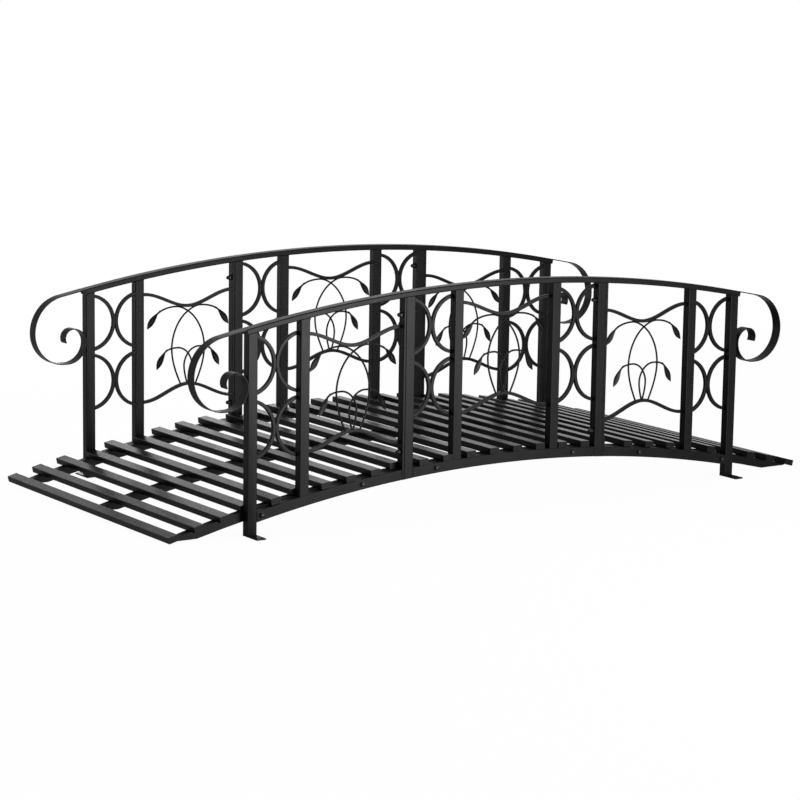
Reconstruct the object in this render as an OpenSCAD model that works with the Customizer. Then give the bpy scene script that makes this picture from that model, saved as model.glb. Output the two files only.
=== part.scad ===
// Arched metal garden bridge with two bolted railings.
// X runs along the bridge, Y across it, Z up; the feet stand on Z = 0 and the origin is under mid-span.

/* [Walkway] */
// Number of slats across the walkway, an even number
slat_count = 28; // [24:2:28]
// Gap between two slats, measured along the arch
slat_gap = 47.5; // [44:0.5:48]
// Width of a slat along the bridge
slat_w = 30; // [26:1:31]
// Height of a slat
slat_h = 17; // [12:1:25]
// How far a full slat stands out past the railings
slat_overhang = 2; // [1:0.5:12]
// Gap between a short slat and the posts at its ends
slat_end_gap = 0.5; // [0.2:0.1:1]
// Edge radius of the square tubes
tube_edge_r = 2; // [1:0.5:4]

/* [Arch] */
// Radius of the arch at the top of the stringers
deck_r = 4050; // [4000:5:4200]
// Height of the stringers' top at mid-span
deck_crown = 146; // [144:1:152]
// Height of a stringer
stringer_h = 25; // [20:1:30]
// Width of a stringer
stringer_w = 25; // [20:1:40]
// Height of the flat that is sawn on the stringers' ends
stringer_flat_z = 6.5; // [2:0.5:7]

/* [Railings] */
// Distance across the outer faces of the two railings
railing_span = 916; // [900:1:924]
// Depth of the posts and bottom rails across the bridge
rail_d = 25; // [20:1:30]
// Height of the bottom rails
bottom_rail_h = 28; // [25:0.5:30]
// Radius of the bottom rails' upper face, which meets the stringers' top at mid-span
bottom_rail_r = 3880; // [3850:5:3950]
// Height of the top rails' upper face at mid-span
top_crown = 621; // [600:1:700]
// Radius of the top rails' upper face
top_r = 4260; // [4100:5:4600]
// Thickness of the top rails
top_rail_t = 15.5; // [8:0.5:20]
// Depth of the top rails and scrolls across the bridge
top_rail_d = 32; // [26:1:36]
// How far the top rails reach past the end posts
top_rail_overhang = 5; // [2:0.5:8]
// Edge radius of the top rails
top_rail_edge_r = 3; // [1:0.5:4]
// Width of a post along the bridge
post_w = 28; // [20:1:29]
// Distance between the posts of a ring panel
ring_bay = 157; // [150:1:162]
// Distance between the posts of a vine panel
vine_bay = 327; // [318:1:332]
// Thickness of the bars that end the outer sections at the bolted joints
joint_bar_t = 7; // [5:0.5:10]
// Edge radius of the joint bars
joint_bar_edge_r = 1.5; // [0.5:0.5:2]
// How far the joint posts reach below the bottom rails
joint_tail = 2; // [1:0.5:5]

/* [Feet] */
// Thickness of a foot plate
foot_t = 4; // [3:0.5:6]
// Length of a foot plate beyond the railing
foot_len = 47; // [30:1:70]

/* [Ornament] */
// Thickness of the ring and wave bars, seen from the side
bar_t = 9; // [6:0.5:10]
// Depth of the ring and wave bars across the bridge
bar_d = 10; // [6:0.5:14]
// Outer radius of the half rings
ring_r = 82; // [76:0.5:83]
// Distance between the centres of the upper and lower rings
ring_rise = 169; // [167:1:174]
// Gap between the upper rings and the top rail
ring_top_gap = 11; // [10:0.5:30]
// How much higher the rings of the middle sections are
mid_ring_lift = 5.5; // [0:0.5:7]
// Overlap of two half rings at the weld where they meet
ring_weld = 1; // [0.5:0.1:2]
// Height of the lower wave's ends above the bottom rail
low_wave_end = 88; // [75:1:100]
// Rise of the lower wave to its middle
low_wave_rise = 44; // [30:1:50]
// Gap between the upper wave's ends and the top rail
top_wave_gap = 60.5; // [50:0.5:80]
// Dip of the upper wave to its middle
top_wave_dip = 40; // [25:1:50]
// How much higher the lower waves of the middle sections are
mid_low_wave_lift = 30; // [0:1:40]
// How much higher the upper waves of the middle sections are
mid_top_wave_lift = 21; // [0:1:25]
// Thickness of the vine stems
stem_t = 4.5; // [3:0.5:6]
// Length of a leaf
leaf_len = 51; // [35:1:55]
// Width of a leaf
leaf_w = 19; // [10:0.5:22]
// Thickness of a leaf
leaf_t = 3; // [2:0.5:4]

/* [Scrolls] */
// Thickness of the scroll strip
strip_t = 3; // [3:0.5:6]
// Straight lead of the strip from the top rail to the first bend
scroll_lead_len = 74; // [60:0.5:90]
// Radius of the scroll's shoulder
scroll_shoulder_r = 105; // [95:1:110]
// Radius of the scroll's outer turn
scroll_outer_r = 92; // [80:1:100]
// Straight stretch at the bottom of the scroll
scroll_bottom_len = 10.5; // [6:0.5:16]
// Radius of the scroll's inner turn
scroll_inner_r = 41; // [38:1:46]
// Radius of the scroll's eye
scroll_eye_r = 27; // [20:0.5:30]

/* [Hidden] */
// Steps in a full turn of the long arches, of the rings and of the tubes' edges
arch_fn = 1440;
ring_fn = 96;
edge_fn = 32;
// Turn of one step along a scroll and steps of one stretch of a stem
scroll_step_deg = 6;
stem_steps = 8;
leaf_steps = 10;
coat = "#26272a";

// Faces of the railing across the bridge
outer_y = railing_span / 2;
inner_y = outer_y - rail_d;
rail_y = outer_y - rail_d / 2;

// Post centres on the +X half
post_a = vine_bay / 2;
post_b = post_a + ring_bay;
post_c = post_b + vine_bay;
post_d = post_c + ring_bay;
post_places = [post_a, post_b, post_c, post_d];
joint_x = post_b + post_w / 2;
bar_x = joint_x + joint_bar_t / 2;
rail_end = post_d + post_w / 2 + top_rail_overhang;

// Half the clear widths of the two kinds of panel
ring_half = (ring_bay - post_w) / 2;
side_vine_x = (joint_x + joint_bar_t + post_c - post_w / 2) / 2;
side_vine_half = (post_c - post_w / 2 - joint_x - joint_bar_t) / 2;
mid_vine_half = (vine_bay - post_w) / 2;

// Slats: how many are beyond the railing at each end, and which one is first past the bolted joint
slat_last = (slat_count - 1) / 2;
ramp_slats = 3;
joint_slat = 5.5;
slat_step_deg = (slat_w + slat_gap) / deck_r * 180 / PI;
slat_len = railing_span + 2 * slat_overhang;
short_slat_len = 2 * (inner_y - slat_end_gap);
stringer_end = slat_x(slat_last) + slat_w / 4;

// Clear height between the rails at mid-span, and the ornaments' places in it
rail_clear = top_crown - top_rail_t - deck_crown;
ring_mid = rail_clear - ring_top_gap - ring_r - ring_rise / 2;
top_wave_end = rail_clear - top_wave_gap;

// Turns of the scroll, as radius and angle; a turn of zero is a straight stretch
// The turn at the post has the radius that brings the strip back against the post
rail_end_slope = asin(rail_end / top_r);
scroll_reach = scroll_lead_len * cos(rail_end_slope) + scroll_shoulder_r * (1 - sin(rail_end_slope));
scroll_post_r = scroll_reach + top_rail_overhang - scroll_outer_r - scroll_bottom_len;
scroll_tip_deg = 120;
scroll_steps = [
    [scroll_lead_len, 0],
    [scroll_shoulder_r, 90 - rail_end_slope],
    [scroll_outer_r, 90],
    [scroll_bottom_len, 0],
    [scroll_post_r, 90],
    [scroll_inner_r, 90],
    [scroll_eye_r, scroll_tip_deg],
];

// Stem points as shares of the panel's half width and of the height between the waves
long_stem_shares = [[-0.164, 0], [-0.362, 0.457], [0, 0.93], [0.282, 0.998], [0.705, 0.915]];
long_stem_headings = [115, 90, 33.5, 0, -40];
long_leaf_heading = -47;
short_stem_shares = [[-0.014, 0], [-0.085, 0.234], [0, 0.386], [0.245, 0.469], [0.54, 0.408]];
mid_short_stem_shares = [[-0.014, 0], [-0.085, 0.26], [0, 0.44], [0.22, 0.53], [0.49, 0.47]];
short_stem_headings = [107, 90, 54.5, 0, -53.5];
short_leaf_heading = -56;
leaf_fullness = 1.4;

// Height of an arch above a place along the bridge, and of the bottom rails' upper face
function arch_z(crown, r, x) = crown - r + sqrt(r * r - x * x);
function rail_z(x) = arch_z(deck_crown, bottom_rail_r, x);
function slat_x(k) = deck_r * sin(k * slat_step_deg);
// A slat is short where a post stands in its way
function is_short(k) = len([
    for (p = post_places)
        if (abs(abs(slat_x(k)) - p) < (slat_w + post_w) / 2 + slat_end_gap) p
]) > 0;

// A smooth curve through points with given headings
function heading_vec(a) = [cos(a), sin(a)];
function curve_point(a, b, ha, hb, u) =
    let (d = norm(b - a))
    (1 + 2 * u) * pow(1 - u, 2) * a + u * pow(1 - u, 2) * d * heading_vec(ha)
    + u * u * (3 - 2 * u) * b - u * u * (1 - u) * d * heading_vec(hb);
function curve_heading(a, b, ha, hb, u) =
    let (d = norm(b - a),
        v = 6 * u * (1 - u) * (b - a) + (1 - u) * (1 - 3 * u) * d * heading_vec(ha)
            + u * (3 * u - 2) * d * heading_vec(hb))
    atan2(v.y, v.x);
// The line at one side of a curve
function curve_side(points, headings, off) = [
    for (i = [0 : len(points) - 2])
        for (j = [0 : stem_steps - (i < len(points) - 2 ? 1 : 0)])
            let (u = j / stem_steps,
                h = curve_heading(points[i], points[i + 1], headings[i], headings[i + 1], u))
            curve_point(points[i], points[i + 1], headings[i], headings[i + 1], u) + off * heading_vec(h + 90)
];
function backwards(list) = [for (i = [len(list) - 1 : -1 : 0]) list[i]];

// The line of a scroll: each point as place and heading
function scroll_turn(c, r, h, turn) =
    let (n = ceil(turn / scroll_step_deg))
    [for (j = [1 : n]) [c + r * heading_vec(h + 90 - turn * j / n), h - turn * j / n]];
function scroll_line(p, h, i) =
    i == len(scroll_steps) ? [] :
    let (s = scroll_steps[i],
        stretch = s[1] == 0 ? [[p + s[0] * heading_vec(h), h]]
            : scroll_turn(p - s[0] * heading_vec(h + 90), s[0], h, s[1]),
        last = stretch[len(stretch) - 1])
    concat(stretch, scroll_line(last[0], last[1], i + 1));

// Flat shapes
module rounded(w, d, r) {
    square([w - 2 * r, d], center = true);
    square([w, d - 2 * r], center = true);
    for (sx = [-1, 1], sy = [-1, 1])
        translate([sx * (w / 2 - r), sy * (d / 2 - r)]) circle(r, $fn = edge_fn);
}
module disc(crown, r) translate([0, crown - r]) circle(r, $fn = arch_fn);
module band(crown, r, h, x0, x1, z0 = 0) intersection() {
    difference() {
        disc(crown, r);
        disc(crown - h, r - h);
    }
    translate([x0, z0]) square([x1 - x0, top_crown - z0]);
}
module ribbon(points, headings, t)
    polygon(concat(curve_side(points, headings, t / 2), backwards(curve_side(points, headings, -t / 2))));
module leaf_shape() polygon(concat(
    [for (j = [0 : leaf_steps]) let (u = j / leaf_steps)
        [leaf_len * u, leaf_w / 2 * sin(180 * pow(u, leaf_fullness))]],
    [for (j = [leaf_steps - 1 : -1 : 1]) let (u = j / leaf_steps)
        [leaf_len * u, -leaf_w / 2 * sin(180 * pow(u, leaf_fullness))]]));

// Stands a flat shape up and gives it depth from y0 towards the back
module stand_up(y0, d) translate([0, y0 + d, 0]) rotate([90, 0, 0]) linear_extrude(d) children();
module side_of(side) mirror([0, side < 0 ? 1 : 0, 0]) children();
module end_of(end) mirror([end < 0 ? 1 : 0, 0, 0]) children();

// Posts and what cuts them, centred on Y = 0
module under_arch(crown, r) translate([0, rail_d, crown - r]) rotate([90, 0, 0])
    cylinder(h = 2 * rail_d, r = r, $fn = arch_fn);
module upright(x, w, edge_r, z0 = 0) intersection() {
    translate([x, 0, z0]) linear_extrude(top_crown - z0) rounded(w, rail_d, edge_r);
    under_arch(top_crown - top_rail_t, top_r - top_rail_t);
}

// Deck pieces
module stringer(y) color(coat) stand_up(y - stringer_w / 2, stringer_w)
    band(deck_crown, deck_r, stringer_h, -stringer_end, stringer_end, stringer_flat_z);
module slat(k)
    translate([0, 0, deck_crown - deck_r]) rotate([0, k * slat_step_deg, 0])
        let (length = is_short(k) ? short_slat_len : slat_len)
        translate([0, 0, deck_r + slat_h / 2])
            stand_up(-length / 2, length) rounded(slat_w, slat_h, tube_edge_r);
module slats(first, last) color(coat) for (k = [first : last]) slat(k);

// Railing pieces of the +X end section
module end_posts() {
    upright(post_d, post_w, tube_edge_r, foot_t);
    plain_post(post_c);
    joint_post(bar_x, joint_bar_t, joint_bar_edge_r);
}
module plain_post(x) difference() {
    upright(x, post_w, tube_edge_r);
    under_arch(deck_crown, bottom_rail_r);
}
module joint_post(x, w, edge_r) upright(x, w, edge_r, rail_z(bar_x) - bottom_rail_h - joint_tail);
module bottom_rail_of(x0, x1)
    stand_up(-rail_d / 2, rail_d) band(deck_crown, bottom_rail_r, bottom_rail_h, x0, x1);
module top_rail_of(x0, x1) let (first = acos(x1 / top_r), last = acos(x0 / top_r))
    translate([0, 0, top_crown - top_r]) rotate([90, 0, 0]) rotate(first)
        rotate_extrude(angle = last - first, $fn = arch_fn)
            translate([top_r - top_rail_t / 2, 0]) rounded(top_rail_t, top_rail_d, top_rail_edge_r);
module scroll() {
    start = [rail_end, arch_z(top_crown, top_r, rail_end)];
    line = concat([[start, -rail_end_slope]], scroll_line(start, -rail_end_slope, 0));
    polygon(concat([for (p = line) p[0]],
        backwards([for (p = line) p[0] - strip_t * heading_vec(p[1] + 90)])));
}

// Posts of the middle section
module middle_posts() for (s = [-1, 1]) {
    plain_post(s * post_a);
    end_of(s) joint_post(post_b, post_w, tube_edge_r);
}

// Two rows of half rings that meet in the middle of a panel
module ring_panel(x, lift) stand_up(inner_y, bar_d) for (row = [-1, 1]) intersection() {
    union() for (s = [-1, 1])
        translate([x + s * (ring_r - ring_weld / 2), rail_z(x) + ring_mid + lift + row * ring_rise / 2])
            difference() {
                circle(ring_r, $fn = ring_fn);
                circle(ring_r - bar_t, $fn = ring_fn);
            }
    translate([x - ring_half, 0]) square([2 * ring_half, top_crown]);
}

// Two waves joined by crossing stems that end in leaves
module wave(x, half, z_end, z_mid)
    ribbon([[x - half, z_end], [x, z_mid], [x + half, z_end]], [0, 0, 0], bar_t);
module stems_of(shares, headings, x, half, z0, z1) for (s = [0, 1])
    translate([x, z0]) mirror([s, 0])
        ribbon([for (p = shares) [p.x * half, p.y * (z1 - z0)]], headings, stem_t);
module leaves_of(shares, heading, x, half, z0, z1) for (s = [0, 1])
    let (tip = shares[len(shares) - 1])
    translate([x, z0]) mirror([s, 0]) translate([tip.x * half, tip.y * (z1 - z0)]) rotate(heading)
        translate([-stem_t / 2, 0]) leaf_shape();
module vine_panel(x, half, low_lift, top_lift, short_shares) {
    low_end = rail_z(x) + low_wave_end + low_lift;
    top_end = rail_z(x) + top_wave_end + top_lift;
    z0 = low_end + low_wave_rise;
    z1 = top_end - top_wave_dip;
    stand_up(inner_y, bar_d) {
        wave(x, half, low_end, z0);
        wave(x, half, top_end, z1);
    }
    stand_up(inner_y + (bar_d - stem_t) / 2, stem_t) {
        stems_of(long_stem_shares, long_stem_headings, x, half, z0, z1);
        stems_of(short_shares, short_stem_headings, x, half, z0, z1);
    }
    stand_up(inner_y + (bar_d - leaf_t) / 2, leaf_t) {
        leaves_of(long_stem_shares, long_leaf_heading, x, half, z0, z1);
        leaves_of(short_shares, short_leaf_heading, x, half, z0, z1);
    }
}

// Railing pieces at their side and end of the bridge
module rail_line(side, end) color(coat) side_of(side) end_of(end) translate([0, rail_y, 0]) children();
module posts(side, end) rail_line(side, end)
    if (end == 0) middle_posts(); else end_posts();
module bottom_rail(side, end) rail_line(side, end)
    if (end == 0) bottom_rail_of(post_w - joint_x, joint_x - post_w);
    else bottom_rail_of(joint_x + joint_bar_t, post_d - post_w / 2);
module top_rail(side, end) rail_line(side, end)
    if (end == 0) top_rail_of(-joint_x, joint_x); else top_rail_of(joint_x, rail_end);
module rings(side, end) color(coat) side_of(side) end_of(end)
    if (end == 0) for (s = [-1, 1]) ring_panel(s * (post_a + post_b) / 2, mid_ring_lift);
    else ring_panel((post_c + post_d) / 2, 0);
module vine(side, end) color(coat) side_of(side) end_of(end)
    if (end == 0) vine_panel(0, mid_vine_half, mid_low_wave_lift, mid_top_wave_lift, mid_short_stem_shares);
    else vine_panel(side_vine_x, side_vine_half, 0, 0, short_stem_shares);
module end_scroll(side, end) color(coat) side_of(side) end_of(end)
    stand_up(rail_y - top_rail_d / 2, top_rail_d) scroll();
module foot_plates(side) color(coat) side_of(side) for (end = [-1, 1])
    end_of(end) translate([post_d - post_w / 2, inner_y, 0]) cube([post_w, rail_d + foot_len, foot_t]);

stringer_y = inner_y - stringer_w / 2;
left_deck_first = -slat_last + ramp_slats;
left_deck_last = -joint_slat;

module front_stringer() stringer(-stringer_y);
module middle_stringer() stringer(0);
module back_stringer() stringer(stringer_y);
module left_ramp_slats() slats(-slat_last, left_deck_first - 1);
module left_deck_slats() slats(left_deck_first, left_deck_last);
module middle_deck_slats() slats(left_deck_last + 1, -left_deck_last - 1);
module right_deck_slats() slats(-left_deck_last, -left_deck_first);
module right_ramp_slats() slats(1 - left_deck_first, slat_last);

front_stringer();
middle_stringer();
back_stringer();
left_ramp_slats();
left_deck_slats();
middle_deck_slats();
right_deck_slats();
right_ramp_slats();
posts(-1, -1);  // front_left_posts
posts(-1, 0);  // front_middle_posts
posts(-1, 1);  // front_right_posts
bottom_rail(-1, -1);  // front_left_bottom_rail
bottom_rail(-1, 0);  // front_middle_bottom_rail
bottom_rail(-1, 1);  // front_right_bottom_rail
top_rail(-1, -1);  // front_left_top_rail
top_rail(-1, 0);  // front_middle_top_rail
top_rail(-1, 1);  // front_right_top_rail
rings(-1, -1);  // front_left_rings
rings(-1, 0);  // front_middle_rings
rings(-1, 1);  // front_right_rings
vine(-1, -1);  // front_left_vine
vine(-1, 0);  // front_middle_vine
vine(-1, 1);  // front_right_vine
end_scroll(-1, -1);  // front_left_scroll
end_scroll(-1, 1);  // front_right_scroll
foot_plates(-1);  // front_foot_plates
posts(1, -1);  // back_left_posts
posts(1, 0);  // back_middle_posts
posts(1, 1);  // back_right_posts
bottom_rail(1, -1);  // back_left_bottom_rail
bottom_rail(1, 0);  // back_middle_bottom_rail
bottom_rail(1, 1);  // back_right_bottom_rail
top_rail(1, -1);  // back_left_top_rail
top_rail(1, 0);  // back_middle_top_rail
top_rail(1, 1);  // back_right_top_rail
rings(1, -1);  // back_left_rings
rings(1, 0);  // back_middle_rings
rings(1, 1);  // back_right_rings
vine(1, -1);  // back_left_vine
vine(1, 0);  // back_middle_vine
vine(1, 1);  // back_right_vine
end_scroll(1, -1);  // back_left_scroll
end_scroll(1, 1);  // back_right_scroll
foot_plates(1);  // back_foot_plates
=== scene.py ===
import math
import bmesh
import bpy
from mathutils import Matrix, Vector


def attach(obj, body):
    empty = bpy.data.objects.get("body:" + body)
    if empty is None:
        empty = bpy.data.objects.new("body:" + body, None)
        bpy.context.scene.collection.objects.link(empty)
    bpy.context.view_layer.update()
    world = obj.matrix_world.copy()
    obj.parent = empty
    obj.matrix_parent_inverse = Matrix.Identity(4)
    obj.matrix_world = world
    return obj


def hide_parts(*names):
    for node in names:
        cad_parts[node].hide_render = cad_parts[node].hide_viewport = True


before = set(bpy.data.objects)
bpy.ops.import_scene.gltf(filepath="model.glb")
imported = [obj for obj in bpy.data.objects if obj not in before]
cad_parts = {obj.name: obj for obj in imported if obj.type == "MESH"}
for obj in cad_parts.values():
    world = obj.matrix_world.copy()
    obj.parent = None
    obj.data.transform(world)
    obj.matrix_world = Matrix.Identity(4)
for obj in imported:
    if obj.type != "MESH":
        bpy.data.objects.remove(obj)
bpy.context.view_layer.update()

mm = 0.001
print("frame loaded,", len(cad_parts), "nodes")


# Small helpers
def linear(hexText):  # sRGB hex to linear colour
    parts = [int(hexText[i:i + 2], 16) / 255 for i in (1, 3, 5)]
    return [c / 12.92 if c <= 0.04045 else ((c + 0.055) / 1.055) ** 2.4 for c in parts] + [1.0]


def addNode(tree, kind, inputs=None, **settings):  # one node with its settings and links
    node = tree.nodes.new(kind)
    for name, value in settings.items():
        setattr(node, name, value)
    for name, value in (inputs or {}).items():
        socket = node.inputs[name]
        if isinstance(value, bpy.types.NodeSocket):
            tree.links.new(value, socket)
        else:
            socket.default_value = value
    return node


def linkObject(name, mesh):
    piece = bpy.data.objects.new(name, mesh)
    bpy.context.scene.collection.objects.link(piece)
    return piece


# Arches, as in the solids
arch = {"railRadius": 3880 * mm, "railCrown": 146 * mm, "topRadius": 4260 * mm, "topCrown": 621 * mm,
        "bottomRail": 28 * mm}
railing = {"outer": 458 * mm, "inner": 433 * mm, "postWidth": 28 * mm, "postA": 163.5 * mm, "postB": 320.5 * mm,
           "postC": 647.5 * mm, "postD": 804.5 * mm, "jointBar": 7 * mm}
railing["middle"] = (railing["outer"] + railing["inner"]) / 2


def railZ(x):  # height of the bottom rails' upper face above a place along the bridge
    return arch["railCrown"] - arch["railRadius"] + math.sqrt(arch["railRadius"] ** 2 - x * x)


def topZ(x):
    return arch["topCrown"] - arch["topRadius"] + math.sqrt(arch["topRadius"] ** 2 - x * x)


# Materials
# Satin black powder coat, sprayed and baked: deep black, soft broad highlights and a faint orange peel
coat = {"dark": "#151515", "light": "#1c1c1c", "roughLow": 0.34, "roughHigh": 0.44, "shine": 0.08, "metal": 0.75,
        "edge": 0.6, "peelMm": 2.2, "peelDepth": 0.05 * mm, "cloudMm": 60, "speckMm": 0.9}
layers = {"cloud": {"Detail": 4.0, "Roughness": 0.6}, "speck": {"Detail": 2.0, "Roughness": 0.5},
          "rub": {"Detail": 3.0, "Roughness": 0.55}, "peel": {"Detail": 1.5, "Roughness": 0.4}}
coating = {"grainLow": 0.7, "grainHigh": 1.3, "peelStrength": 0.35, "rubMm": 6, "rubStretch": 0.04,
           "sideUp": 0.3, "topUp": 0.8}  # shared by all the finishes


def makePowderCoat(name, finish, streaks=0.0):
    material = bpy.data.materials.new(name)
    material.use_nodes = True
    tree = material.node_tree
    tree.nodes.clear()
    coords = addNode(tree, "ShaderNodeTexCoord").outputs
    place = coords["Object"]
    cloud = addNode(tree, "ShaderNodeTexNoise", {"Vector": place, "Scale": 1 / (finish["cloudMm"] * mm),
                                                 **layers["cloud"]})
    speck = addNode(tree, "ShaderNodeTexNoise", {"Vector": place, "Scale": 1 / (finish["speckMm"] * mm),
                                                 **layers["speck"]})
    tint = addNode(tree, "ShaderNodeMix", {0: cloud.outputs["Fac"], 6: linear(finish["dark"]),
                                           7: linear(finish["light"])}, data_type="RGBA")
    grain = addNode(tree, "ShaderNodeMath", {0: cloud.outputs["Fac"], 1: speck.outputs["Fac"]}, operation="ADD")
    if streaks:  # wipe and tread marks that run along the slat
        stretch = addNode(tree, "ShaderNodeMapping", {"Vector": place, "Scale": (1.0, coating["rubStretch"], 1.0)})
        rub = addNode(tree, "ShaderNodeTexNoise", {"Vector": stretch.outputs["Vector"],
                                                   "Scale": 1 / (coating["rubMm"] * mm), **layers["rub"]})
        rubShare = addNode(tree, "ShaderNodeMath", {0: rub.outputs["Fac"], 1: streaks}, operation="MULTIPLY")
        grain = addNode(tree, "ShaderNodeMath", {0: grain.outputs[0], 1: rubShare.outputs[0]}, operation="ADD")
    rough = addNode(tree, "ShaderNodeMapRange", {"Value": grain.outputs[0], "From Min": coating["grainLow"],
                                                 "From Max": coating["grainHigh"] + streaks,
                                                 "To Min": finish["roughLow"],
                                                 "To Max": finish["roughHigh"]}).outputs["Result"]
    edge = [finish["edge"]] * 3 + [1.0]  # how much of the low, grazing light is thrown back
    if streaks:  # the walked-on tops are smoother than the sides
        upward = addNode(tree, "ShaderNodeSeparateXYZ", {"Vector": coords["Normal"]}).outputs["Z"]
        top = addNode(tree, "ShaderNodeMapRange", {"Value": upward, "From Min": coating["sideUp"],
                                                   "From Max": coating["topUp"]}).outputs["Result"]
        rough = addNode(tree, "ShaderNodeMath", {0: top, 1: -finish["topRub"], 2: rough},
                        operation="MULTIPLY_ADD").outputs[0]
        edge = addNode(tree, "ShaderNodeMapRange", {"Value": top, "To Min": finish["edge"],
                                                    "To Max": finish["topEdge"]}).outputs["Result"]
    peel = addNode(tree, "ShaderNodeTexNoise", {"Vector": place, "Scale": 1 / (finish["peelMm"] * mm),
                                                **layers["peel"]})
    bump = addNode(tree, "ShaderNodeBump", {"Height": peel.outputs["Fac"], "Strength": coating["peelStrength"],
                                            "Distance": finish["peelDepth"]})
    shader = addNode(tree, "ShaderNodeBsdfPrincipled", {"Base Color": tint.outputs[2],
                                                        "Roughness": rough,
                                                        "Specular IOR Level": finish["shine"],
                                                        "Metallic": finish["metal"],
                                                        "Specular Tint": edge,
                                                        "Normal": bump.outputs["Normal"]})
    addNode(tree, "ShaderNodeOutputMaterial", {"Surface": shader.outputs["BSDF"]})
    return material


frameCoat = makePowderCoat("satinBlackPowderCoat", coat)

# The same coat on the slats, rubbed smoother on top and along their length, so that low light slides over them
slatFinish = {"dark": "#151515", "light": "#1c1c1c", "roughLow": 0.32, "roughHigh": 0.46, "shine": 0.08,
              "metal": 0.75, "edge": 0.6, "topEdge": 0.86, "topRub": 0.11, "peelMm": 2.2, "peelDepth": 0.04 * mm,
              "cloudMm": 90, "speckMm": 0.9}
slatCoat = makePowderCoat("rubbedBlackPowderCoat", slatFinish, streaks=0.5)

# Black zinc on steel fasteners: a dark metal with tighter glints than the coat
zinc = {"dark": "#1c1c1c", "light": "#282828", "roughLow": 0.30, "roughHigh": 0.42, "shine": 0.15, "metal": 0.75,
        "edge": 0.7, "peelMm": 1.2, "peelDepth": 0.02 * mm, "cloudMm": 12, "speckMm": 0.5}
boltCoat = makePowderCoat("blackZincSteel", zinc)
print("materials made")

for name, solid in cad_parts.items():
    finish = slatCoat if name.endswith("_slats") else frameCoat
    if not solid.material_slots:
        solid.data.materials.append(finish)
    for holder in solid.material_slots:
        holder.material = finish


# Geometry node trees
def newTree(name, sockets):
    tree = bpy.data.node_groups.new(name, "GeometryNodeTree")
    tree.interface.new_socket("Geometry", in_out="INPUT", socket_type="NodeSocketGeometry")
    for label, kind in sockets:
        tree.interface.new_socket(label, in_out="INPUT", socket_type="NodeSocket" + kind)
    tree.interface.new_socket("Geometry", in_out="OUTPUT", socket_type="NodeSocketGeometry")
    return tree, tree.nodes.new("NodeGroupInput").outputs, tree.nodes.new("NodeGroupOutput").inputs


roundSteps = 3  # points on each rounded edge of a flat bar


def makeBarTree():  # a flat bar with rounded edges along a path drawn on the ground plane
    tree, given, outlet = newTree("flatBarAlongPath", [("Thickness", "Float"), ("Depth", "Float"), ("Edge", "Float")])
    path = addNode(tree, "GeometryNodeMeshToCurve", {"Mesh": given["Geometry"]})
    flat = addNode(tree, "GeometryNodeSetCurveNormal", {"Curve": path.outputs[0]}, mode="Z_UP")
    outline = addNode(tree, "GeometryNodeCurvePrimitiveQuadrilateral", {"Width": given["Thickness"],
                                                                       "Height": given["Depth"]})
    rounded = addNode(tree, "GeometryNodeFilletCurve", {"Curve": outline.outputs[0], "Radius": given["Edge"],
                                                        "Count": roundSteps}, mode="POLY")
    bar = addNode(tree, "GeometryNodeCurveToMesh", {"Curve": flat.outputs[0], "Profile Curve": rounded.outputs[0],
                                                    "Fill Caps": True})
    tree.links.new(bar.outputs[0], outlet["Geometry"])
    return tree


def makeRodTree():  # a round rod along a path
    tree, given, outlet = newTree("rodAlongPath", [("Radius", "Float"), ("Sides", "Int")])
    path = addNode(tree, "GeometryNodeMeshToCurve", {"Mesh": given["Geometry"]})
    flat = addNode(tree, "GeometryNodeSetCurveNormal", {"Curve": path.outputs[0]}, mode="Z_UP")
    outline = addNode(tree, "GeometryNodeCurvePrimitiveCircle", {"Resolution": given["Sides"],
                                                                "Radius": given["Radius"]})
    rod = addNode(tree, "GeometryNodeCurveToMesh", {"Curve": flat.outputs[0], "Profile Curve": outline.outputs[0],
                                                    "Fill Caps": True})
    tree.links.new(rod.outputs[0], outlet["Geometry"])
    return tree


boltForm = {"lengths": ["Hexagon Radius", "Hexagon Height", "Washer Radius", "Washer Height", "Crown Radius",
                        "Crown Rise"], "washerSides": 28, "prismShare": 0.8, "rimShare": 0.84,
            "crownSegments": 20, "crownRings": 12}


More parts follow.
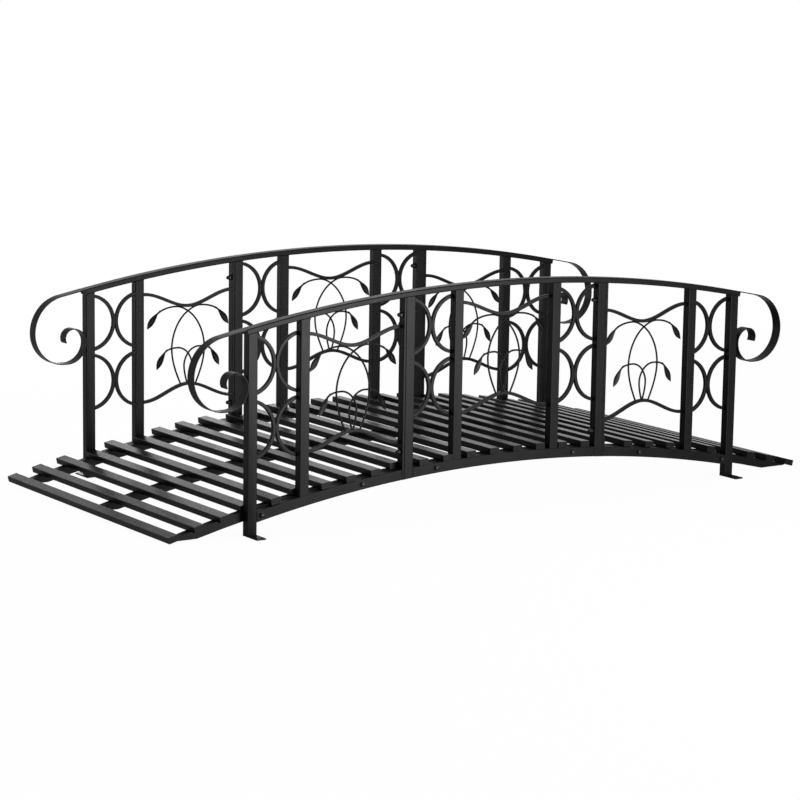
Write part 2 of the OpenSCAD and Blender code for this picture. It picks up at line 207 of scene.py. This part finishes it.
def makeBoltTree():  # washer, chamfered hexagon and round crown on each point, standing on +Z of the facing
    sockets = [("Facing", "Vector")] + [(label, "Float") for label in boltForm["lengths"]]
    tree, given, outlet = newTree("boltsOnPoints", sockets)

    def times(socket, share):
        return addNode(tree, "ShaderNodeMath", {0: socket, 1: share}, operation="MULTIPLY").outputs[0]

    def plus(a, b):
        return addNode(tree, "ShaderNodeMath", {0: a, 1: b}, operation="ADD").outputs[0]

    def lifted(geometry, height):
        lift = addNode(tree, "ShaderNodeCombineXYZ", {"Z": height})
        return addNode(tree, "GeometryNodeTransform", {"Geometry": geometry,
                                                       "Translation": lift.outputs[0]}).outputs[0]

    washer = addNode(tree, "GeometryNodeMeshCylinder", {"Vertices": boltForm["washerSides"],
                                                        "Radius": given["Washer Radius"],
                                                        "Depth": given["Washer Height"]})
    prismHeight = times(given["Hexagon Height"], boltForm["prismShare"])
    prism = addNode(tree, "GeometryNodeMeshCylinder", {"Vertices": 6, "Radius": given["Hexagon Radius"],
                                                       "Depth": prismHeight})
    rimTop = times(given["Hexagon Radius"], boltForm["rimShare"])
    rimHeight = times(given["Hexagon Height"], 1 - boltForm["prismShare"])
    rim = addNode(tree, "GeometryNodeMeshCone", {"Vertices": 6, "Radius Top": rimTop, "Depth": rimHeight,
                                                 "Radius Bottom": given["Hexagon Radius"]})
    crown = addNode(tree, "GeometryNodeMeshUVSphere", {"Segments": boltForm["crownSegments"],
                                                       "Rings": boltForm["crownRings"],
                                                       "Radius": given["Crown Radius"]})
    squash = addNode(tree, "ShaderNodeMath", {0: given["Crown Rise"], 1: given["Crown Radius"]}, operation="DIVIDE")
    crownFlat = addNode(tree, "ShaderNodeCombineXYZ", {"X": 1.0, "Y": 1.0, "Z": squash.outputs[0]})
    crownLow = addNode(tree, "GeometryNodeTransform", {"Geometry": crown.outputs["Mesh"],
                                                       "Scale": crownFlat.outputs[0]})
    hexTop = plus(given["Washer Height"], given["Hexagon Height"])
    rimBase = plus(given["Washer Height"], prismHeight)
    parts = addNode(tree, "GeometryNodeJoinGeometry")
    for geometry in (lifted(washer.outputs["Mesh"], times(given["Washer Height"], 0.5)),
                     lifted(prism.outputs["Mesh"], plus(given["Washer Height"], times(prismHeight, 0.5))),
                     lifted(rim.outputs["Mesh"], rimBase),
                     lifted(crownLow.outputs[0], hexTop)):
        tree.links.new(geometry, parts.inputs[0])
    turn = addNode(tree, "FunctionNodeEulerToRotation", {"Euler": given["Facing"]})
    placed = addNode(tree, "GeometryNodeInstanceOnPoints", {"Points": given["Geometry"], "Instance": parts.outputs[0],
                                                            "Rotation": turn.outputs[0]})
    real = addNode(tree, "GeometryNodeRealizeInstances", {"Geometry": placed.outputs[0]})
    tree.links.new(real.outputs[0], outlet["Geometry"])
    return tree


barTree, rodTree, boltTree = makeBarTree(), makeRodTree(), makeBoltTree()


def pathMesh(paths):  # polylines as loose edges on the ground plane, or points where a path is one
    mesh = bpy.data.meshes.new("path")
    verts, edges = [], []
    for path in paths:
        first = len(verts)
        verts += [(p[0], p[1], p[2] if len(p) > 2 else 0.0) for p in path]
        edges += [(first + i, first + i + 1) for i in range(len(path) - 1)]
    mesh.from_pydata(verts, edges, [])
    return mesh


def grown(tree, mesh, **inputs):  # runs a tree on a mesh and gives back the plain result
    carrier = linkObject("carrier", mesh)
    modifier = carrier.modifiers.new("grow", "NODES")
    modifier.node_group = tree
    idents = {item.name: item.identifier for item in tree.interface.items_tree if item.in_out == "INPUT"}
    for label, value in inputs.items():
        modifier[idents[label]] = value
    result = bpy.data.meshes.new_from_object(carrier.evaluated_get(bpy.context.evaluated_depsgraph_get()))
    carrier.modifiers.remove(modifier)
    bpy.data.objects.remove(carrier)
    return result


def finishMesh(mesh, sharpDegrees=40):  # smooth sides, crisp corners
    mesh.shade_smooth()
    mesh.set_sharp_from_angle(angle=math.radians(sharpDegrees))
    return mesh


def keptMesh(work, name, material):  # turns a working mesh into the mesh of a piece
    mesh = bpy.data.meshes.new(name)
    work.to_mesh(mesh)
    work.free()
    mesh.materials.append(material)
    return mesh


def joined(name, meshes, material):
    work = bmesh.new()
    for mesh in meshes:
        work.from_mesh(mesh)
    return keptMesh(work, name, material)


def weighted(piece):  # flat faces keep flat shading beside rounded edges
    piece.modifiers.new("weighted", "WEIGHTED_NORMAL").keep_sharp = True
    mesh = bpy.data.meshes.new_from_object(piece.evaluated_get(bpy.context.evaluated_depsgraph_get()))
    piece.modifiers.clear()
    piece.data = mesh
    return piece


def addPiece(name, mesh, slot, *nodes):
    piece = weighted(linkObject(name, mesh))
    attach(piece, "root")
    if nodes:
        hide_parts(*nodes)
    return piece


standing = Matrix.Rotation(math.radians(90), 4, "X")  # ground plane to the plane of a railing
sides = {"front": -1, "back": 1}
ends = {"left": -1, "middle": 0, "right": 1}


def stoodUp(mesh, y, side, end=1):  # drawn for the back right, mirrored for the others
    mesh.transform(Matrix.Translation((0, y, 0)) @ standing)
    mirror = Matrix.Diagonal((-1.0 if end < 0 else 1.0, -1.0 if side < 0 else 1.0, 1.0, 1.0))
    mesh.transform(mirror)
    if mirror.determinant() < 0:
        mesh.flip_normals()
    return mesh


# Rings: two rows of half rings, their ends run a little into the posts' walls
rings = {"radius": 82 * mm, "rise": 169 * mm, "mid": 282 * mm, "middleLift": 5.5 * mm, "weld": 1 * mm,
         "thick": 9.6 * mm, "depth": 10 * mm, "edge": 1.4 * mm, "half": 64.5 * mm, "intoPost": 4 * mm, "steps": 40}


def ringPaths(x, lift):
    middle = rings["radius"] - rings["thick"] / 2
    offset = rings["radius"] - rings["weld"] / 2
    reach = math.acos((offset - rings["half"] - rings["intoPost"]) / middle)
    paths = []
    for row in (-1, 1):
        z = railZ(x) + rings["mid"] + lift + row * rings["rise"] / 2
        for s in (-1, 1):
            turns = [reach * (2 * i / rings["steps"] - 1) for i in range(rings["steps"] + 1)]
            paths.append([(x + s * (offset - middle * math.cos(a)), z + middle * math.sin(a)) for a in turns])
    return paths


for sideName, side in sides.items():
    for endName, end in ends.items():
        if end == 0:
            places = [s * (railing["postA"] + railing["postB"]) / 2 for s in (-1, 1)]
        else:
            places = [end * (railing["postC"] + railing["postD"]) / 2]
        lift = 0 if end else rings["middleLift"]
        bars = grown(barTree, pathMesh([p for x in places for p in ringPaths(x, lift)]), Thickness=rings["thick"],
                     Depth=rings["depth"], Edge=rings["edge"])
        stoodUp(bars, railing["inner"] + rings["depth"] / 2, side)
        node = f"{sideName}_{endName}_rings"
        addPiece(node + "_bars", finishMesh(joined(node + "_bars", [bars], frameCoat)), "frame_coat", node)
print("rings made")

# Vines: two waves of flat bar, crossing stems of round rod, and forged leaves
vine = {"lowEnd": 88 * mm, "lowRise": 44 * mm, "topEnd": 399 * mm, "topDip": 40 * mm, "lowLift": 30 * mm,
        "topLift": 21 * mm, "thick": 9.2 * mm, "depth": 10 * mm, "edge": 1.4 * mm, "stemRadius": 2.6 * mm,
        "stemSides": 12, "stemShift": 1.5 * mm, "intoPost": 4 * mm, "sideHalf": 146 * mm, "sideX": 487.5 * mm,
        "middleHalf": 149.5 * mm, "steps": 14}
stems = [{"shares": [(-0.164, 0), (-0.362, 0.457), (0, 0.93), (0.282, 0.998), (0.705, 0.915)],
          "headings": [115, 90, 33.5, 0, -40], "leaf": -47},
         {"shares": [(-0.014, 0), (-0.085, 0.234), (0, 0.386), (0.245, 0.469), (0.54, 0.408)],
          "middleShares": [(-0.014, 0), (-0.085, 0.26), (0, 0.44), (0.22, 0.53), (0.49, 0.47)],
          "headings": [107, 90, 54.5, 0, -53.5], "leaf": -56}]
leaf = {"length": 68 * mm, "lap": 15 * mm, "width": 18.5 * mm, "sag": 5.5 * mm, "thick": 2.2 * mm, "fullness": 1.5,
        "cup": 2.2 * mm, "seat": 0.88 * mm, "curl": 1.5 * mm, "neck": 0.35 * mm, "start": 0.02, "rib": 0.9 * mm,
        "ribSpread": 0.22, "ribRun": 1.05, "edgeThin": 0.75, "tipThin": 0.5, "along": 16, "across": 8}


def smoothPath(points, headings):  # passes each point at its heading
    path = []
    for i in range(len(points) - 1):
        a, b = Vector(points[i]), Vector(points[i + 1])
        reach = (b - a).length
        da = Vector((math.cos(math.radians(headings[i])), math.sin(math.radians(headings[i])))) * reach
        db = Vector((math.cos(math.radians(headings[i + 1])), math.sin(math.radians(headings[i + 1])))) * reach
        last = i == len(points) - 2
        for j in range(vine["steps"] + (1 if last else 0)):
            u = j / vine["steps"]
            path.append((1 + 2 * u) * (1 - u) ** 2 * a + u * (1 - u) ** 2 * da
                        + u * u * (3 - 2 * u) * b - u * u * (1 - u) * db)
    return path


def leafMesh(place, headingDegrees, depth, facing):  # cupped blade with a raised midrib, drawn on the ground plane
    work = bmesh.new()
    rows = []
    sag = -math.copysign(leaf["sag"], math.cos(math.radians(headingDegrees)))  # the tip hangs lower
    for layer in (1, -1):
        for i in range(leaf["along"] + 1):
            u = i / leaf["along"]
            half = leaf["width"] / 2 * math.sin(math.pi * max(u, leaf["start"]) ** leaf["fullness"])
            half += leaf["neck"] * (1 - u)
            ribRise = leaf["rib"] * math.sin(math.pi * min(1, u * leaf["ribRun"] + leaf["start"]))
            row = []
            for j in range(leaf["across"] + 1):
                v = 2 * j / leaf["across"] - 1
                body = leaf["cup"] * v * v * half / (leaf["width"] / 2) + leaf["curl"] * (2 * u - 1) ** 2
                body -= ribRise * math.exp(-(v / leaf["ribSpread"]) ** 2) + leaf["seat"]
                thick = leaf["thick"] / 2 * (1 - leaf["edgeThin"] * v * v) * (1 - leaf["tipThin"] * u)
                point = (leaf["length"] * u, half * v + sag * u * u, facing * body + layer * thick)
                row.append(work.verts.new(point))
            rows.append(row)
    count = leaf["along"] + 1
    for layer in (0, 1):
        for i in range(leaf["along"]):
            for j in range(leaf["across"]):
                a, b = rows[layer * count + i], rows[layer * count + i + 1]
                quad = (a[j], b[j], b[j + 1], a[j + 1])
                work.faces.new(quad if layer == 0 else quad[::-1])
    upper, lower = rows[:count], rows[count:]
    for i in range(leaf["along"]):
        for j in (0, leaf["across"]):
            work.faces.new((upper[i][j], upper[i + 1][j], lower[i + 1][j], lower[i][j]))
    for i in (0, leaf["along"]):
        for j in range(leaf["across"]):
            work.faces.new((upper[i][j], upper[i][j + 1], lower[i][j + 1], lower[i][j]))
    bmesh.ops.recalc_face_normals(work, faces=work.faces)
    mesh = bpy.data.meshes.new("leaf")
    work.to_mesh(mesh)
    work.free()
    mesh.transform(Matrix.Translation((place[0], place[1], depth))
                   @ Matrix.Rotation(math.radians(headingDegrees), 4, "Z") @ Matrix.Translation((-leaf["lap"], 0, 0)))
    return mesh


for sideName, side in sides.items():
    for endName, end in ends.items():
        x = end * vine["sideX"]
        half = vine["sideHalf"] if end else vine["middleHalf"]
        lowEnd = railZ(x) + vine["lowEnd"] + (0 if end else vine["lowLift"])
        topEnd = railZ(x) + vine["topEnd"] + (0 if end else vine["topLift"])
        low, top = lowEnd + vine["lowRise"], topEnd - vine["topDip"]
        waves = []
        for zEnd, zMid in ((lowEnd, low), (topEnd, top)):
            wave = smoothPath([(x - half, zEnd), (x, zMid), (x + half, zEnd)], [0, 0, 0])
            waves.append([(x - half - vine["intoPost"], zEnd)] + wave + [(x + half + vine["intoPost"], zEnd)])
        meshes = [grown(barTree, pathMesh(waves), Thickness=vine["thick"], Depth=vine["depth"], Edge=vine["edge"])]
        rods = []
        for stem in stems:
            for s in (1, -1):
                shares = stem["shares"] if end else stem.get("middleShares", stem["shares"])
                points = [(x + s * px * half, low + pz * (top - low)) for px, pz in shares]
                turned = stem["headings"] if s > 0 else [180 - h for h in stem["headings"]]
                depth = -s * vine["stemShift"]
                rods.append([(p[0], p[1], depth) for p in smoothPath(points, turned)])
                heading = stem["leaf"] if s > 0 else 180 - stem["leaf"]
                meshes.append(leafMesh(points[-1], heading, depth, s))
        meshes.append(grown(rodTree, pathMesh(rods), Radius=vine["stemRadius"], Sides=vine["stemSides"]))
        node = f"{sideName}_{endName}_vine"
        mesh = stoodUp(joined(node + "_work", meshes, frameCoat), railing["inner"] + vine["depth"] / 2, side)
        addPiece(node + "_work", finishMesh(mesh), "frame_coat", node)
print("vines made")

# Scrolls: a flat strip rolled from the end of each top rail
scroll = {"strip": 3 * mm, "width": 32 * mm, "edge": 0.8 * mm, "lead": 74 * mm, "shoulder": 105 * mm,
          "outer": 92 * mm, "bottom": 10.5 * mm, "inner": 41 * mm, "eye": 27 * mm, "tipDegrees": 120,
          "stepDegrees": 3, "railEnd": 823.5 * mm, "pastPost": 5 * mm}


def scrollPath():
    slope = math.asin(scroll["railEnd"] / arch["topRadius"])
    reach = scroll["lead"] * math.cos(slope) + scroll["shoulder"] * (1 - math.sin(slope))
    back = reach + scroll["pastPost"] - scroll["outer"] - scroll["bottom"]  # brings the strip against the post
    turns = [(scroll["lead"], 0), (scroll["shoulder"], math.pi / 2 - slope), (scroll["outer"], math.pi / 2),
             (scroll["bottom"], 0), (back, math.pi / 2),
             (scroll["inner"], math.pi / 2), (scroll["eye"], math.radians(scroll["tipDegrees"]))]
    place, heading = Vector((scroll["railEnd"], topZ(scroll["railEnd"]))), -slope
    line = [(place, heading)]

    def across(angle):
        return Vector((-math.sin(angle), math.cos(angle)))
    for size, turn in turns:
        if turn == 0:
            place = place + size * Vector((math.cos(heading), math.sin(heading)))
            line.append((place, heading))
            continue
        centre = place - size * across(heading)
        count = math.ceil(math.degrees(turn) / scroll["stepDegrees"])
        for j in range(1, count + 1):
            angle = heading - turn * j / count
            line.append((centre + size * across(angle), angle))
        place, heading = line[-1]
    return [p - scroll["strip"] / 2 * across(h) for p, h in line]


for sideName, side in sides.items():
    for endName in ("left", "right"):
        strip = grown(barTree, pathMesh([scrollPath()]), Thickness=scroll["strip"], Depth=scroll["width"],
                      Edge=scroll["edge"])
        stoodUp(strip, railing["middle"], side, ends[endName])
        node = f"{sideName}_{endName}_scroll"
        addPiece(node + "_strip", finishMesh(joined(node + "_strip", [strip], frameCoat)), "frame_coat", node)
print("scrolls made")

# Square tubes and plates whose edges the solids leave sharp
rounding = {"tube": 2 * mm, "plate": 0.8 * mm, "segments": 3, "weld": 0.005 * mm, "flatDegrees": 0.05,
            "cornerDegrees": 20}


def solidCopy(node):  # a working mesh of a solid, with its doubled corners welded
    work = bmesh.new()
    work.from_mesh(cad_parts[node].data)
    bmesh.ops.remove_doubles(work, verts=work.verts, dist=rounding["weld"])
    return work


def roundedCopy(node, radius):
    work = solidCopy(node)
    bmesh.ops.dissolve_limit(work, angle_limit=math.radians(rounding["flatDegrees"]), verts=work.verts,
                             edges=work.edges)
    sharp = math.radians(rounding["cornerDegrees"])
    corners = [e for e in work.edges if len(e.link_faces) == 2 and e.calc_face_angle() > sharp]
    bmesh.ops.bevel(work, geom=corners, offset=radius, offset_type="OFFSET", segments=rounding["segments"],
                    profile=0.5, affect="EDGES", clamp_overlap=True)
    return finishMesh(keptMesh(work, node + "_rounded", frameCoat))


plainTubes = [f"{s}_stringer" for s in ("front", "middle", "back")]
plainTubes += [f"{s}_{e}_bottom_rail" for s in sides for e in ends]
for node in plainTubes:
    addPiece(node + "_tube", roundedCopy(node, rounding["tube"]), "frame_coat", node)
for sideName in sides:
    addPiece(sideName + "_foot_tabs", roundedCopy(sideName + "_foot_plates", rounding["plate"]), "frame_coat",
             sideName + "_foot_plates")
print("tubes and foot plates rounded")


# Joint posts and bars: their tails are dressed flush with the lower faces of the bottom rails
def trimmedCopy(node):
    work = solidCopy(node)
    under = arch["railRadius"] - arch["bottomRail"]
    for s in (-1, 1):
        x = s * railing["postB"]
        rise = math.sqrt(under ** 2 - x * x)
        verts = [v for v in work.verts if abs(v.co.x - x) < railing["postWidth"]]
        if not verts:
            continue
        faces = list({f for v in verts for f in v.link_faces})
        edges = list({e for v in verts for e in v.link_edges})
        cut = bmesh.ops.bisect_plane(work, geom=verts + edges + faces, plane_no=(x, 0, rise), clear_inner=True,
                                     plane_co=(x, 0, arch["railCrown"] - arch["railRadius"] + rise))
        bmesh.ops.edgeloop_fill(work, edges=[e for e in cut["geom_cut"] if isinstance(e, bmesh.types.BMEdge)])
    bmesh.ops.recalc_face_normals(work, faces=work.faces)
    return finishMesh(keptMesh(work, node + "_trimmed", frameCoat))


for node in [f"{s}_{e}_posts" for s in sides for e in ends]:
    addPiece(node + "_trimmed", trimmedCopy(node), "frame_coat", node)
print("posts trimmed")

# Fasteners: cap nuts on the left of each joint, and bolts from the bottom rails into the stringers
jointBolt = {"topZ": 546 * mm, "lowZ": 178 * mm, "hexRadius": 7.5 * mm, "hexHeight": 5.3 * mm,
             "washer": 8.5 * mm, "washerHeight": 1.6 * mm, "crownRadius": 6.0 * mm, "crownRise": 8.0 * mm}
railBolt = {"places": [230 * mm, 467 * mm, 776 * mm], "hexRadius": 7.2 * mm, "hexHeight": 4.6 * mm,
            "washer": 8.8 * mm, "washerHeight": 1.5 * mm, "crownRadius": 5.6 * mm, "crownRise": 1.0 * mm}
jointIn = railing["postB"] - railing["postWidth"] / 2
jointOut = railing["postB"] + railing["postWidth"] / 2 + railing["jointBar"]


def boltMesh(bolt, points, facing):
    values = [bolt[key] for key in ("hexRadius", "hexHeight", "washer", "washerHeight", "crownRadius", "crownRise")]
    return grown(boltTree, pathMesh([[p] for p in points]), Facing=facing, **dict(zip(boltForm["lengths"], values)))


for sideName, side in sides.items():
    caps, studs = [], []
    for z in (jointBolt["topZ"], jointBolt["lowZ"]):
        caps += [(-jointOut, side * railing["middle"], z), (jointIn, side * railing["middle"], z)]
    for x in railBolt["places"]:
        studs += [(s * x, side * railing["outer"], railZ(x) - arch["bottomRail"] / 2) for s in (-1, 1)]
    meshes = [boltMesh(jointBolt, caps, (0, math.radians(-90), 0)),
              boltMesh(railBolt, studs, (math.radians(-90 * side), 0, 0))]
    mesh = finishMesh(joined(sideName + "_bolts", meshes, boltCoat), sharpDegrees=30)
    addPiece(sideName + "_bolts", mesh, "frame_coat")
print("bolts made")

# Floor and world: white to the eye, with the soft shadow that the floor keeps
stage = {"size": 40.0, "drop": 0.3 * mm, "floor": "#f4f4f2", "shadowKept": 0.03, "mirrorKept": 0.6,
         "near": 1.6, "far": 5.0, "fill": 0.3}
floorMesh = bpy.data.meshes.new("floor")
reach, low = stage["size"] / 2, -stage["drop"]
floorMesh.from_pydata([(-reach, -reach, low), (reach, -reach, low), (reach, reach, low), (-reach, reach, low)],
                      [], [(0, 1, 2, 3)])
floor = linkObject("floor", floorMesh)


def seenDirectly(tree):  # camera, mirror and see-through rays
    rays = addNode(tree, "ShaderNodeLightPath").outputs
    some = addNode(tree, "ShaderNodeMath", {0: rays["Is Camera Ray"], 1: rays["Is Glossy Ray"]}, operation="MAXIMUM")
    return addNode(tree, "ShaderNodeMath", {0: some.outputs[0], 1: rays["Is Transmission Ray"]},
                   operation="MAXIMUM").outputs[0]


paper = bpy.data.materials.new("paleFloorPaper")
paper.use_nodes = True
tree = paper.node_tree
tree.nodes.clear()
matt = addNode(tree, "ShaderNodeBsdfDiffuse", {"Color": linear(stage["floor"])})
glow = addNode(tree, "ShaderNodeEmission", {"Color": (1, 1, 1, 1), "Strength": 1.0})
spot = addNode(tree, "ShaderNodeVectorMath", {0: addNode(tree, "ShaderNodeTexCoord").outputs["Object"]},
               operation="LENGTH")
mirrored = addNode(tree, "ShaderNodeMath", {0: addNode(tree, "ShaderNodeLightPath").outputs["Is Glossy Ray"],
                                            1: -stage["mirrorKept"], 2: 1 - stage["shadowKept"]},
                   operation="MULTIPLY_ADD")  # mirrored, the paper keeps more of its shadow
plain = addNode(tree, "ShaderNodeMapRange", {"Value": spot.outputs["Value"], "From Min": stage["near"],
                                             "From Max": stage["far"], "To Min": mirrored.outputs[0],
                                             "To Max": 1.0})  # far off it is plain white
share = addNode(tree, "ShaderNodeMath", {0: seenDirectly(tree), 1: plain.outputs["Result"]}, operation="MULTIPLY")
both = addNode(tree, "ShaderNodeMixShader", {0: share.outputs[0], 1: matt.outputs[0], 2: glow.outputs[0]})
addNode(tree, "ShaderNodeOutputMaterial", {"Surface": both.outputs[0]})
floorMesh.materials.append(paper)

world = bpy.data.worlds.new("studio")
bpy.context.scene.world = world
world.use_nodes = True
tree = world.node_tree
tree.nodes.clear()
dim = addNode(tree, "ShaderNodeBackground", {"Color": (1, 1, 1, 1), "Strength": stage["fill"]})
white = addNode(tree, "ShaderNodeBackground", {"Color": (1, 1, 1, 1), "Strength": 1.0})
both = addNode(tree, "ShaderNodeMixShader", {0: seenDirectly(tree), 1: dim.outputs[0], 2: white.outputs[0]})
addNode(tree, "ShaderNodeOutputWorld", {"Surface": both.outputs[0]})

# Soft boxes: low ones before and behind that the faces mirror, a high one that slides over the slats, one overhead
lamps = [{"name": "frontBox", "place": (0.8, -3.3, 0.26), "aim": (-0.4, 0, 0.35), "size": (1.6, 0.44),
          "watts": 105},
         {"name": "backBox", "place": (2.0, 4.4, 2.2), "aim": (-0.6, 0, 0.2), "size": (2.4, 1.2), "watts": 12},
         {"name": "rearBox", "place": (0.2, 3.8, 0.3), "aim": (0, 0, 0.3), "size": (3.2, 0.44), "watts": 50},
         {"name": "topBox", "place": (-0.5, 0.4, 4.2), "aim": (0, 0, 0.1), "size": (4.0, 3.0), "watts": 110}]
for lamp in lamps:
    light = bpy.data.lights.new(lamp["name"], "AREA")
    light.shape, light.energy = "RECTANGLE", lamp["watts"]
    light.size, light.size_y = lamp["size"]
    holder = bpy.data.objects.new(lamp["name"], light)
    holder.location = lamp["place"]
    holder.rotation_euler = (Vector(lamp["aim"]) - Vector(lamp["place"])).to_track_quat("-Z", "Y").to_euler()
    holder.visible_camera = False
    bpy.context.scene.collection.objects.link(holder)

# Camera at the photograph's viewing angle
view = {"place": (-4.2710, -6.2461, 1.5079), "azimuth": 0.5952, "down": 0.1683, "roll": 0.0153,
        "focalPixels": 2679.2, "imagePixels": 800, "sensor": 36.0, "clipEnd": 100}
camera = bpy.data.objects.new("camera", bpy.data.cameras.new("camera"))
camera.data.sensor_width = view["sensor"]
camera.data.lens = view["focalPixels"] / view["imagePixels"] * view["sensor"]
camera.data.clip_end = view["clipEnd"]
az, down = view["azimuth"], view["down"]
forward = Vector((math.sin(az) * math.cos(down), math.cos(az) * math.cos(down), -math.sin(down)))
right = Vector((math.cos(az), -math.sin(az), 0))
up = right.cross(forward)
tilted = right * math.cos(view["roll"]) + up * math.sin(view["roll"])
upright = up * math.cos(view["roll"]) - right * math.sin(view["roll"])
turn = Matrix((tilted, upright, -forward)).transposed().to_4x4()
camera.matrix_world = Matrix.Translation(view["place"]) @ turn
bpy.context.scene.collection.objects.link(camera)
bpy.context.scene.camera = camera
bpy.context.scene.view_settings.view_transform = "Standard"
print("stage set")
